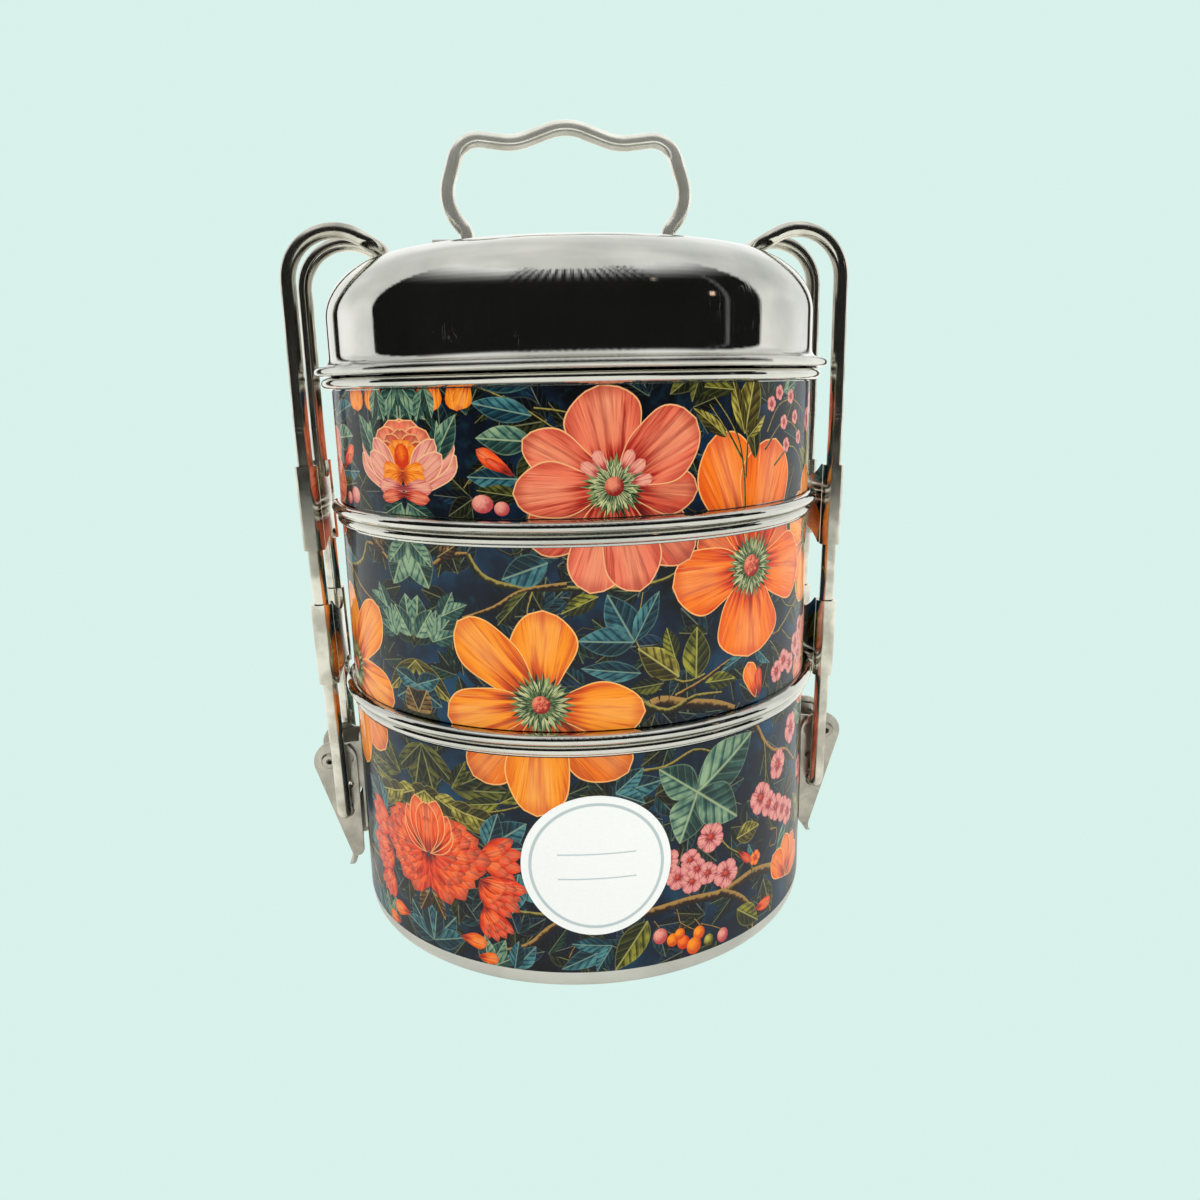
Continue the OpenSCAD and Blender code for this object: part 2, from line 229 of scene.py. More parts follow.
def polished_steel(name, rounding):
    """Mirror-polished stainless: spun rings, faint upright polishing lines, small scratches."""
    n = Nodes(name)
    coord, angle, radius, z = around_axis(n)
    rings = n.grain((radius, 9000.0), (z, 9000.0), (angle, 1.2), detail=2.0)
    combs = n.grain((angle, 260.0), (z, 60.0), detail=2.0)
    smear = n.noise(coord, 38.0, 4.0)
    marks = scratches(n, coord, 420.0, 0.012)
    n.set(Base_Color=n.mix(n.span(smear, 0.3, 0.75), srgb(218, 216, 208), srgb(190, 190, 184)),
          Metallic=1.0)
    rough = n.plus(n.span(smear, 0.35, 0.75, 0.012, 0.035), n.times(marks, 0.3))
    n.set(Roughness=n.plus(rough, n.span(combs, 0.5, 0.75, 0.0, 0.05)))
    height = n.plus(n.times(rings, 0.15), n.times(combs, 0.5))
    n.bump(n.minus(height, n.times(marks, 0.6)), 0.000007, normal=n.turn_normal(rounding))
    return n.material


def satin_steel():
    """Pressed clip steel: dull, slightly warm, with grain, blotches and rubbed scratches."""
    n = Nodes("satin_steel")
    coord, (x, y, z) = n.place()
    grain = n.grain((x, 2600.0), (y, 2600.0), (z, 260.0), detail=3.0)
    blotch = n.noise(coord, 160.0, 4.0)
    marks = scratches(n, coord, 700.0, 0.02)
    tone = n.mix(n.span(blotch, 0.3, 0.7), srgb(190, 186, 174), srgb(162, 158, 147))
    n.set(Base_Color=n.mix(n.times(marks, 0.6), tone, srgb(228, 226, 218)), Metallic=0.92)
    n.set(Roughness=n.plus(n.span(blotch, 0.3, 0.7, 0.2, 0.34), n.times(grain, 0.08)))
    n.bump(n.plus(grain, blotch), 0.00002, 0.7)
    return n.material


def wire_steel(name, bright, dull, low, high, metallic):
    """Drawn wire: fine lengthways draw lines and rubbed patches, with roughness from low to high."""
    n = Nodes(name)
    coord, (x, y, z) = n.place()
    draw = n.grain((x, 3000.0), (y, 3000.0), (z, 90.0), detail=3.0)
    rub = n.noise(coord, 120.0, 4.0)
    n.set(Base_Color=n.mix(n.span(rub, 0.35, 0.7), bright, dull), Metallic=metallic)
    n.set(Roughness=n.span(rub, 0.3, 0.75, low, high))
    n.bump(draw, 0.00001, 0.8)
    return n.material


def sticker_paper():
    """White satin paper sticker: fibres, and a plain ring with two ruled lines for a name."""
    n = Nodes("sticker_paper")
    coord, (x, _, z) = n.place()
    centre = (LABEL_LOW + LABEL_HIGH) / 2
    across = n.minus(x, centre.x)
    up = n.minus(z, centre.z)
    distance = n.far(across, up)
    edge = (LABEL_HIGH.z - LABEL_LOW.z) / 2
    ring_at, ring_half = edge - 2.2 * MM, 0.3 * MM
    off_ring = n.magnitude(n.minus(distance, ring_at))
    ring = n.span(off_ring, ring_half, ring_half * 1.5, 1.0, 0.0)
    rule_gap, rule_half = 3.2 * MM, 0.12 * MM
    off_rule = n.magnitude(n.minus(n.magnitude(up), rule_gap))
    rule = n.span(off_rule, rule_half, rule_half * 1.8, 1.0, 0.0)
    in_ring = n.span(n.magnitude(across), 9.4 * MM, 9.6 * MM, 1.0, 0.0)
    printed = n.math("MAXIMUM", ring, n.times(rule, in_ring))
    fibre = n.noise(coord, 2200.0, 3.0)
    paper = n.mix(n.span(fibre, 0.3, 0.7), srgb(252, 252, 250), srgb(246, 247, 246))
    n.set(Base_Color=n.mix(n.times(printed, 0.7), paper, srgb(150, 172, 178)), Roughness=0.42)
    n.set(Coat_Weight=0.25, Coat_Roughness=0.2)
    n.bump(fibre, 0.000008, 0.6)
    return n.material


def film_edge():
    """The dark film itself, which shows at its cut edges."""
    n = Nodes("film_edge")
    coord, _ = n.place()
    n.set(Base_Color=n.mix(n.noise(coord, 90.0), srgb(18, 42, 58), srgb(24, 66, 84)), Roughness=0.25)
    return n.material


# ---------------- printed artwork

# The pattern is drawn on the unrolled wall in millimetres: across from the front, and up.
# It is drawn between two upright mirror lines and mirrored round the rest of the wall.
MIRROR_AT = -48.0
# Width of the tinted rim round petals and leaves wider than RIMLESS
EDGE = 0.32
RIMLESS = 4.7
# Widest facet of the print round the wall
GRID_STEP = 3.0
# Length of a stem's straight pieces
STEM_STEP = 2.2
# Kinds of motif, as material slots
GROUND, PETAL, LEAF, STEM, DOT, STAR = range(6)
BLACK = (0, 0, 0, 1)

# Each ink runs from a deep colour to a light one
CORAL = ink(182, 44, 34, 242, 132, 102)
CORAL_DEEP = ink(160, 36, 30, 220, 96, 72)
ORANGE = ink(216, 64, 10, 252, 134, 30)
ORANGE_DEEP = ink(176, 44, 12, 232, 92, 20)
GOLD = ink(220, 88, 6, 255, 160, 34)
GOLD_DEEP = ink(188, 66, 6, 242, 130, 20)
FLAME = ink(140, 24, 10, 240, 74, 24)
FLAME_LIGHT = ink(184, 36, 12, 252, 108, 40)
PINK = ink(176, 66, 76, 236, 158, 156)
ROSE = ink(200, 84, 88, 240, 168, 150)
TEAL = ink(24, 78, 92, 94, 148, 150)
SAGE = ink(62, 104, 96, 158, 182, 148)
OLIVE = ink(72, 76, 24, 170, 164, 66)
DARK_OLIVE = ink(50, 56, 26, 120, 118, 52)
MUSTARD = ink(96, 86, 22, 198, 184, 92)
BARK = ink(74, 48, 24, 176, 140, 82)
VINE = ink(70, 66, 28, 166, 150, 84)
SHADE = (ink(8, 34, 44, 28, 78, 88), ink(12, 34, 36, 44, 76, 62),
         ink(24, 30, 20, 66, 70, 38), ink(10, 28, 44, 24, 66, 92))
VINE_DIM = ink(34, 34, 20, 104, 92, 56)
SPIKE = ink(50, 84, 58, 206, 206, 156)
SPIKE_DARK = ink(18, 50, 40, 136, 156, 104)
PISTIL = ink(150, 44, 40, 240, 150, 120)


Motif = namedtuple("Motif", "kind deep light outer inner local")


class Print:
    """Collects motifs on the unrolled wall; a later one covers an earlier one."""

    def __init__(self, seed):
        self.motifs = []
        self.random = np.random.default_rng(seed)

    def motif(self, kind, colours, outer, inner, origin, angle, length, half_width):
        """outer and inner are outlines: the rim between them is tinted as an edge."""
        inner = None if inner is None else np.array(inner)
        local = (*origin, angle, length, half_width, self.random.random())
        self.motifs.append(Motif(kind, *colours, np.array(outer), inner, local))

    def blade(self, kind, colours, u, v, angle, length, width, full=0.6, belly=1.4, bend=0.0, wave=0.05,
              rimmed=True):
        """A petal or leaf from its base at (u, v). full under 1 rounds it; belly moves its widest part."""
        turn = math.radians(angle)
        phase = self.random.random() * 6.28
        # About one corner a millimetre along each side
        count = int(min(max(length, 7), 22))

        def edge(inset):
            reach = length - 2 * inset
            half = width / 2 - inset
            sides = []
            for side in (1, -1):
                for i in range(count):
                    t = i / count if side > 0 else 1 - i / count
                    ripple = 1 + wave * math.sin(9 * t + phase + side)
                    y = side * half * max(math.sin(math.pi * t ** belly), 0) ** full * ripple
                    x = inset + reach * t
                    lift = bend * length * (t - 0.5) ** 2
                    sides.append((x, y + lift))
            cos, sin = math.cos(turn), math.sin(turn)
            return [(u + x * cos - y * sin, v + x * sin + y * cos) for x, y in sides]

        inner = edge(EDGE) if rimmed and width > RIMLESS else None
        self.motif(kind, colours, edge(0.0), inner, (u, v), turn, length, width / 2)

    def petal(self, colours, *place, **shape):
        """A blade rounded at its tip; place is its u, v, angle, length and width."""
        self.blade(PETAL, colours, *place, **{"full": 0.55, "belly": 1.55, "wave": 0.07, **shape})

    def leaf(self, colours, *place, **shape):
        """A blade pointed at its tip, placed as a petal is."""
        self.blade(LEAF, colours, *place, **{"full": 0.9, "belly": 0.85, "wave": 0.03, **shape})

    def dot(self, colours, u, v, radius, squash=1.0):
        """A round spot, squash times as high as it is wide."""
        outer = [(u + radius * math.cos(a), v + radius * squash * math.sin(a))
                 for a in np.linspace(0, 2 * math.pi, 14, endpoint=False)]
        self.motif(DOT, colours, outer, None, (u, v), 0.0, radius, radius)

    def star(self, colours, u, v, reach, spikes):
        """A ring of stamens: a star whose points differ a little in length."""
        outer = []
        for i in range(2 * spikes):
            turn = math.pi * (i + self.random.uniform(-0.2, 0.2)) / spikes
            radius = reach * (self.random.uniform(0.86, 1.05) if i % 2 == 0 else 0.66)
            outer.append((u + radius * math.cos(turn), v + radius * math.sin(turn)))
        self.motif(STAR, colours, outer, None, (u, v), 0.0, reach, reach)

    def stem(self, colours, points, start, end):
        """A stem through points, from the start's thickness to the end's."""
        line = smooth_line(points)
        for i, (a, b) in enumerate(zip(line, line[1:])):
            run = b - a
            length = float(np.linalg.norm(run))
            side = np.array((-run[1], run[0])) / length / 2
            wide, slim = (start + (end - start) * k / (len(line) - 1) for k in (i, i + 1))
            outer = [a + side * wide, a - side * wide, b - side * slim, b + side * slim]
            self.motif(STEM, colours, [tuple(p) for p in outer], None, tuple(a),
                       math.atan2(run[1], run[0]), length, wide / 2)


def smooth_line(points):
    """Points along a Catmull-Rom curve through the given ones."""
    ends = [points[0], *points, points[-1]]
    p = [np.array(q, float) for q in ends]
    line = []
    for a, b, c, d in zip(p, p[1:], p[2:], p[3:]):
        count = max(1, round(float(np.linalg.norm(c - b)) / STEM_STEP))
        for i in range(count):
            t = i / count
            line.append(0.5 * (2 * b + (c - a) * t + (2 * a - 5 * b + 4 * c - d) * t ** 2
                               + (3 * b - a - 3 * c + d) * t ** 3))
    return [*line, p[-1]]


def flower(art, u, v, colours, deep, behind, front, ring, pistil):
    """A big open flower: deep petals behind light ones, each (angle, length, width), and its middle."""
    for tint, petals in ((deep, behind), (colours, front)):
        for petal in petals:
            art.petal(tint, u, v, *petal)
    for share, spikes, colour in ((1.0, 30, SPIKE_DARK), (0.84, 24, SPIKE), (0.56, 16, SPIKE_DARK)):
        art.star(colour, u, v, ring * share, spikes)
    art.dot(PISTIL, u, v, pistil)
    # Grains in a spiral over the pistil
    for i in range(9):
        turn = i * 2.4
        reach = pistil * 0.82 * math.sqrt(i / 9)
        art.dot(CORAL, u + reach * math.cos(turn), v + reach * math.sin(turn), pistil * 0.2)


def blossom(art, u, v, radius, colours=PINK, turn=0.0):
    """A small clustered blossom of five round petals."""
    for i in range(5):
        art.petal(colours, u, v, turn + 72 * i, radius, radius * 0.95, full=0.5)
    art.dot(CORAL_DEEP, u, v, radius * 0.22)


def thistle(art, u, v, angle, reach, spread, count, colours=FLAME, light=FLAME_LIGHT):
    """A fan of pointed petals in three layers, as on a chrysanthemum."""
    for layer in range(3):
        for i in range(count - layer):
            share = (i + 0.5) / (count - layer) - 0.5
            art.blade(PETAL, light if layer == 2 else colours, u, v, angle + spread * share,
                      reach * (1 - 0.2 * layer) * art.random.uniform(0.88, 1.04), reach * 0.38,
                      full=0.85, belly=1.25, rimmed=False)


def spray(art, u, v, leaves, colours):
    """Leaves from one point, each (angle, length, width)."""
    for angle, length, width in leaves:
        art.leaf(colours, u, v, angle, length, width)


def draw_top(art):
    """The upper part of the pattern: coral flower, rose and buds."""
    for points in ([(-14, 141), (-5, 139), (3, 130)], [(-30, 147), (-18, 142), (-6, 134)],
                   [(37, 112), (36.5, 124), (34, 134), (27, 143), (22, 148)],
                   [(37, 124), (38, 136), (41, 147)], [(36, 128), (31, 135), (26, 141)],
                   [(45, 134), (50, 140), (58, 141), (66, 138)],
                   [(44, 130), (52, 136), (60, 134), (66, 129)],
                   [(48, 126), (56, 130), (63, 127), (66, 122)], [(-20, 126), (-26, 129), (-31, 124)]):
        art.stem(VINE, points, 0.7, 0.4)
    for u, v, colours, *leaves in (
            (40.5, 128, DARK_OLIVE, (98, 16, 5)), (36.5, 134, MUSTARD, (76, 15, 8), (108, 14, 4)),
            (31, 133.5, MUSTARD, (144, 11.5, 3.2)), (37.5, 133, MUSTARD, (38, 8, 3.2)),
            (33, 144, OLIVE, (150, 9, 3.5), (175, 12, 4)),
            (24, 149, DARK_OLIVE, (215, 10, 5), (250, 8, 4)), (52, 143, SAGE, (20, 9, 4), (60, 7, 3)),
            (-14.5, 139.5, TEAL, (168, 14, 5.5)), (-14.5, 134, SAGE, (176, 13, 6.5)),
            (-13, 147, TEAL, (182, 15, 5)), (-18, 126, TEAL, (178, 12, 5.2)),
            (-17, 122, DARK_OLIVE, (172, 11, 4)), (22, 125, TEAL, (200, 12, 6))):
        spray(art, u, v, leaves, colours)
    for u, v in ((46.5, 140.5), (50, 143), (52.5, 136), (56, 142), (59, 137), (54, 130.5), (62, 132)):
        blossom(art, u, v, 1.9)
    art.petal(FLAME_LIGHT, -18.8, 126.6, 146, 10.5, 3.6)
    art.petal(FLAME, -19.5, 127, 150, 7, 2)
    art.dot(ROSE, -26.5, 120.5, 2.6, 0.8)
    art.dot(ROSE, -22, 119.5, 1.8, 0.9)
    for u, angle in ((-37, 262), (-33, 282), (-28.5, 250), (-41, 285)):
        art.petal(GOLD, u, 148, angle, 7.5, 4.6)
    spray(art, -47.5, 147, [(270, 8, 7), (292, 9, 4), (312, 11, 5)], SAGE)
    spray(art, -40, 146, [(250, 8, 4), (285, 7, 3.5)], SAGE)
    draw_rose(art, -48, 130)
    flower(art, 3, 124, CORAL, CORAL_DEEP,
           [(214, 23, 14), (316, 25, 14), (355, 20, 11)],
           [(97, 22, 17), (36, 24, 16), (152, 22.5, 11), (183, 22.5, 12.5), (256, 24.5, 14),
            (283, 24.5, 13.5)], 7.6, 2.1)
    for angle in (10, 38, 62, 118, 144):
        turn = math.radians(angle)
        art.petal(ROSE, 3 + 3.5 * math.cos(turn), 124 + 3.5 * math.sin(turn), angle, 5.5, 2.8)
    art.star(SPIKE, 3, 124, 5.6, 20)
    art.dot(PISTIL, 3, 124, 2.2)


def draw_rose(art, u, v):
    """The rose on the mirror line, cupped in its outer petals; only the half past the line is drawn."""
    spray(art, u + 1, v - 10, [(300, 7, 5), (335, 10, 4)], SAGE)
    for angle, length, width in ((30, 17, 8), (40, 18.5, 7)):
        art.petal(ROSE, u + 1, v - 7.5, angle, length, width)
    spray(art, u + 9, v - 1, [(58, 13, 6), (78, 10, 4)], SAGE)
    for angle in (94, 72, 50):
        art.petal(CORAL, u, v - 3, angle, 12.5, 9, full=0.45)
    for angle in (86, 60, 36):
        art.petal(CORAL_DEEP, u, v - 3, angle, 10, 6.5, full=0.45)
    for angle in (92, 66, 42, 18):
        art.petal(GOLD, u, v - 2.5, angle, 7.6, 4.6, full=0.5)
    art.dot(ORANGE, u, v + 0.8, 2.4, 1.2)
    for angle, length in ((52, 15.5), (38, 14.5)):
        art.petal(ROSE, u + 0.5, v - 7.5, angle, length, 6)
    for angle, length in ((8, 7.5), (-14, 8), (-34, 7)):
        art.petal(GOLD, u - 0.5, v - 3.2, angle, length, 4)
    art.petal(ROSE, u - 1, v - 6.6, 2, 10, 3.8)
    art.petal(CORAL, u - 1, v - 8, -6, 9, 3.2)


def draw_middle(art):
    """The middle of the pattern: orange and golden flowers, teal and olive leaves."""
    for colours, start, end, *points in (
            (VINE, 1.6, 0.8, (-31, 109), (-28, 104.5), (-21, 102), (-8, 101.6), (6, 101.4),
             (16, 103), (25, 109)),
            (BARK, 0.9, 1.3, (-33, 94), (-25, 97), (-18, 101), (-8, 102.5)),
            (BARK, 1.6, 1.2, (-40, 106), (-36, 108.5), (-31, 109)),
            (VINE, 0.8, 0.5, (-16, 101), (-17.5, 95), (-15, 88)),
            (VINE, 0.5, 0.9, (9, 100), (8, 94), (7.3, 88.5), (12, 82), (19, 77.5), (25, 78.5)),
            (BARK, 1.0, 0.6, (17, 74.5), (24, 77), (32, 80.5), (41, 82.5), (52, 84)),
            (BARK, 3.4, 2.0, (8, 71), (13, 73.5), (20, 72), (28, 70.5), (34, 68)),
            (VINE, 1.6, 0.8, (8, 74), (15, 71), (22, 73.5), (30, 73))):
        art.stem(colours, points, start, end)
    for points in ([(50, 96), (56, 90), (63, 88), (67, 82)], [(54, 84), (60, 80), (66, 81)],
                   [(46, 84), (52, 78), (54, 71)], [(60, 100), (64, 94), (63, 88)]):
        art.stem(VINE, points, 0.5, 0.3)
    for u, v, colours, *leaves in (
            (-12, 107.5, TEAL, (200, 11.5, 7.5)), (-17, 101, DARK_OLIVE, (228, 11, 3.6)),
            (-1, 99.6, OLIVE, (204, 9.5, 4.4)), (7, 88.5, TEAL, (118, 13, 8), (62, 13, 5), (176, 13, 7)),
            (8.5, 81, TEAL, (172, 14, 5)), (18, 79, MUSTARD, (142, 13, 7.2)),
            (17, 83.5, OLIVE, (106, 8, 4.2)), (22.5, 78, OLIVE, (89, 12.5, 7.6)),
            (14, 78, DARK_OLIVE, (184, 8, 4.2)), (25, 76.5, OLIVE, (-4, 9.5, 4.6)),
            (41, 82.5, TEAL, (200, 12, 4), (12, 9, 4), (-40, 9, 4)),
            (-47.5, 111.5, SAGE, (296, 12.5, 9.5), (318, 9, 5)),
            (-47, 88, SAGE, (84, 10.5, 8), (54, 9, 6)),
            (-42, 87.5, SAGE, (78, 8, 5), (48, 12, 5.5), (20, 8, 4)),
            (-39, 94, SAGE, (60, 7, 4.5), (25, 8, 4)), (-39, 108, BARK, (30, 7, 4)),
            (-48.5, 82.5, MUSTARD, (-40, 15, 5.2)), (-48, 76, TEAL, (-30, 9, 6), (20, 8, 5)),
            (-48, 69, BARK, (62, 7, 7))):
        spray(art, u, v, leaves, colours)
    art.petal(ORANGE, 42, 69, 108, 10.5, 5.4)
    art.petal(FLAME, 43.5, 69, 96, 8, 3)
    for u, v, size in ((51.5, 73.5, 3), (55.5, 75.5, 3.2), (59.5, 73.8, 3), (64, 78, 3.4), (67, 74.5, 3),
                       (68, 82, 2.8)):
        blossom(art, u, v, size, turn=20 * u)
    flower(art, 39.6, 102.8, ORANGE, ORANGE_DEEP,
           [(150, 19, 13), (28, 18, 12)],
           [(109, 34, 18), (73, 31, 20), (186, 23.5, 16), (268, 22.5, 22), (-9, 25, 17)], 8.6, 2.8)
    flower(art, -14.8, 74.3, GOLD, GOLD_DEEP,
           [(227, 26, 15), (319, 26.5, 15.5)],
           [(87, 22.5, 15.5), (136, 27.5, 13.5), (191, 24.5, 13.5), (266, 28, 16), (-6, 24.5, 13.5)],
           8.2, 2.2)


def draw_bottom(art):
    """The lower part of the pattern: chrysanthemum, sage leaves, pink blossoms, branch."""
    for colours, start, end, *points in (
            (BARK, 1.4, 3.0, (-28, 9), (-20, 12), (-13, 18), (-4, 19), (8, 19.5), (20, 20.5),
             (31, 19.5), (42, 21), (52, 18.5)),
            (BARK, 2.4, 1.2, (30, 20), (37, 16), (41, 11), (42, 4)),
            (VINE, 0.9, 1.2, (-31, 20), (-24, 20.8), (-14, 20.5)),
            (VINE, 0.9, 0.5, (-38, 45), (-28, 46.5), (-20, 49), (-12, 53)),
            (VINE, 1.3, 0.7, (5, 57), (14, 57), (22, 60), (28, 58)),
            (BARK, 2.0, 1.0, (42, 62), (46, 56), (51, 52), (58, 50), (66, 44)),
            (VINE, 0.8, 0.4, (46, 56), (47, 48), (46, 42)),
            (VINE, 0.8, 0.6, (29, 36), (33, 31), (40, 26), (42, 21)),
            (BARK, 0.9, 0.4, (50, 30), (53.5, 29), (53, 25), (50, 25.5), (50.5, 27.5))):
        art.stem(colours, points, start, end)
    for points in ([(11, 17), (13, 14)], [(17, 19), (18, 15), (17.5, 12)], [(18, 15), (22, 12), (24, 12)],
                   [(22, 15), (24, 12), (22.5, 9)], [(24, 13), (28, 11), (31, 9)],
                   [(-10, 9), (-8, 13), (-5, 11)]):
        art.stem(BARK, points, 0.5, 0.3)
    for u, v, colours, *leaves in (
            (-48, 61, DARK_OLIVE, (285, 13, 8), (318, 15, 5)),
            (-39, 51, DARK_OLIVE, (4, 17, 5.6), (28, 12, 5), (60, 9, 4)),
            (-26, 49, OLIVE, (30, 12, 4), (190, 10, 4))):
        spray(art, u, v, leaves, colours)
    art.leaf(MUSTARD, -50, 47.5, -14, 23, 7.5, bend=-0.3, wave=0.14)
    for i in range(4):
        art.leaf(MUSTARD, -49 + 4.6 * i, 49 - 1.3 * i, -30 + 6 * i, 8.5, 6, full=0.7)
    for u, v, colours, *leaves in (
            (-30, 37, TEAL, (35, 13, 8), (70, 10, 6), (5, 11, 6)),
            (-22, 31, TEAL, (-50, 10, 7), (-100, 11, 6)),
            (2, 52, TEAL, (10, 12, 6), (40, 9, 5), (-25, 8, 5)),
            (23, 49, SAGE, (33, 21, 12.5), (143, 13, 9), (248, 13.5, 11), (-38, 16, 11.5)),
            (35.5, 33, MUSTARD, (6, 9, 6)), (40, 30, TEAL, (-60, 8, 4)), (62, 30, SAGE, (235, 16, 7)),
            (9.5, 17.5, OLIVE, (236, 15, 7.4)),
            (0.5, 12, TEAL, (206, 14, 5.4), (175, 10, 4.4), (240, 8, 4)),
            (-8, 20, DARK_OLIVE, (120, 8, 3.6)), (36, 13, OLIVE, (-38, 11, 6.5)),
            (47, 17, DARK_OLIVE, (-70, 12, 6)), (-48, 7, TEAL, (48, 12, 8), (20, 11, 6), (80, 12, 6)),
            (-46, 25, BARK, (20, 9, 4.6), (-20, 8, 4)), (-47.5, 21, BARK, (-60, 8, 4.5), (60, 6, 3.5)),
            (-31, 4, SAGE, (60, 10, 5), (95, 9, 5), (30, 9, 4.5)),
            (-24, 5, TEAL, (50, 9, 5), (80, 8, 4))):
        spray(art, u, v, leaves, colours)
    art.petal(ORANGE, -39, 11, -2, 8, 4.2)
    art.petal(ORANGE, -34, 6.5, 4, 6, 3.4)
    art.petal(FLAME, 36, 29.5, -44, 7, 2.4)
    art.petal(FLAME_LIGHT, 43, 10, -4, 8, 3.6)
    for angle in (20, 55, 90, 130):
        art.petal(ORANGE, 60, 12, angle, 13, 8)
    blossom(art, 43, 25, 2.2, ORANGE)
    for u, v, size in ((27, 36, 4.2), (21, 31.5, 3), (32, 24.6, 4.2), (45, 41, 4.6), (49, 38, 3.8),
                       (53, 35.5, 4), (57, 33.5, 3.8), (61, 31, 3.8), (53.5, 47.5, 4.4), (62, 55, 4.6),
                       (15, 33, 3), (17.5, 27.5, 3.4), (21.5, 25.5, 3.4), (26, 26.5, 3.2), (14.5, 30, 3),
                       (23, 28.5, 3)):
        blossom(art, u, v, size, turn=31 * u)
    for u, v, size, colours in ((12.7, 12.6, 1.9, ROSE), (16, 10.8, 1.6, GOLD), (19, 9.4, 1.7, ORANGE),
                                (23.5, 10.8, 1.7, GOLD), (22, 7.6, 2.1, GOLD), (26.5, 7.8, 1.5, MUSTARD),
                                (31, 7.6, 1.8, ROSE), (18, 12, 1.4, GOLD)):
        art.dot(colours, u, v, size, 1.15)
    draw_chrysanthemum(art, -47.5, 33)


def draw_chrysanthemum(art, u, v):
    """Red-orange chrysanthemum on the mirror line, with two loose florets beside it."""
    thistle(art, u + 15, v + 1, 2, 12, 80, 4)
    thistle(art, u + 15, v - 5, -34, 13, 70, 5)
    thistle(art, u + 16, v - 12, -62, 10, 60, 4)
    rings = ((18.5, 11, -76, 30), (17, 10, -72, 54), (15, 10, -64, 76), (12.5, 9, -54, 84),
             (9.5, 7, -40, 80))
    for layer, (reach, count, first, last) in enumerate(rings):
        for i in range(count):
            angle = first + (last - first) * (i + 0.5 * (layer % 2)) / count
            squat = 1 - 0.22 * abs(math.sin(math.radians(angle)))
            length = reach * art.random.uniform(0.86, 1.06) * squat
            art.blade(PETAL, (FLAME, FLAME_LIGHT)[layer % 2], u, v, angle, length, 0.42 * reach,
                      full=0.85, belly=1.6, wave=0.07, rimmed=False)
    for angle, length, width in ((44, 11, 6), (60, 13.5, 7), (78, 15.5, 8), (90, 14, 7.5), (90, 10, 4.5)):
        art.blade(PETAL, FLAME_LIGHT, u, v - 1.5, angle, length, width, full=0.7, belly=1.2)


def draw_back(art):
    """The rest of the wall towards the back: the same kinds of flower, set out anew."""
    for colours, start, end, *points in (
            (BARK, 3.0, 1.8, (52, 18.5), (66, 15), (80, 18), (98, 14), (118, 20), (140, 13), (157, 17)),
            (VINE, 1.2, 0.7, (66, 44), (78, 50), (88, 47), (100, 53), (118, 47), (134, 52)),
            (VINE, 0.9, 0.7, (52, 84), (66, 90), (78, 86), (92, 92), (108, 86), (124, 90), (142, 84)),
            (VINE, 0.9, 0.6, (66, 129), (80, 124), (96, 130), (112, 122), (130, 128), (150, 121)),
            (BARK, 2.2, 1.2, (84, 71), (98, 74), (112, 70), (128, 75), (146, 71))):
        art.stem(colours, points, start, end)
    for u, v, turn in ((70, 24, 60), (78, 96, 75), (72, 122, 90), (86, 140, 200), (104, 98, 10),
                       (92, 24, 80), (112, 30, 100), (128, 24, 70), (142, 28, 120), (136, 98, 110),
                       (150, 100, 60), (96, 78, 250), (140, 140, 230), (124, 138, 280), (98, 118, 60)):
        spray(art, u, v, [(turn, 13, 7), (turn + 50, 11, 6), (turn - 50, 12, 5.5)],
              (TEAL, SAGE, OLIVE, DARK_OLIVE)[int(u + v) % 4])
    for u, v, colours in ((74, 54, SAGE), (100, 58, OLIVE), (148, 58, SAGE), (86, 8, TEAL), (110, 9, OLIVE),
                          (134, 7, TEAL), (154, 9, SAGE)):
        spray(art, u, v, [(30, 12, 7), (150, 11, 6), (85, 11, 6)], colours)
    for u, v in ((72, 40), (76, 36), (80, 39), (84, 35), (132, 62), (136, 59), (140, 62), (71, 136),
                 (76, 140), (81, 137), (148, 132), (152, 136), (147, 138), (102, 22), (106, 18), (110, 22)):
        blossom(art, u, v, 3.4, turn=17 * u)
    for u, v in ((90, 10), (94, 7), (98, 10), (122, 12), (126, 9), (118, 8)):
        art.dot(GOLD, u, v, 1.8, 1.1)
    thistle(art, 150, 36, 90, 15, 300, 22)
    thistle(art, 150, 36, 90, 10, 320, 14, FLAME_LIGHT, ORANGE)
    wheel_behind = [(176, 22, 14), (326, 21, 14)]
    wheel_front = [(20, 21, 15), (74, 22, 15), (128, 21, 15), (222, 22, 15), (276, 23, 16)]
    for u, v, colours, deep, turned, longer, wider, ring, pistil in (
            (104, 40, CORAL, CORAL_DEEP, 0, 1, 1, 7.6, 2.1),
            (74, 106, GOLD, GOLD_DEEP, 25, 0.86, 0.9, 7.4, 2.1),
            (118, 104, ORANGE, ORANGE_DEEP, 50, 1, 1, 8.2, 2.4),
            (78, 72, ROSE, CORAL, 10, 0.7, 0.75, 6, 1.8),
            (146, 80, GOLD, GOLD_DEEP, -15, 0.9, 1, 7.6, 2.1),
            (104, 137, CORAL, CORAL_DEEP, 0, 0.7, 0.75, 6, 1.8)):
        behind, front = ([(angle + turned, length * longer, width * wider)
                          for angle, length, width in petals] for petals in (wheel_behind, wheel_front))
        flower(art, u, v, colours, deep, behind, front, ring, pistil)


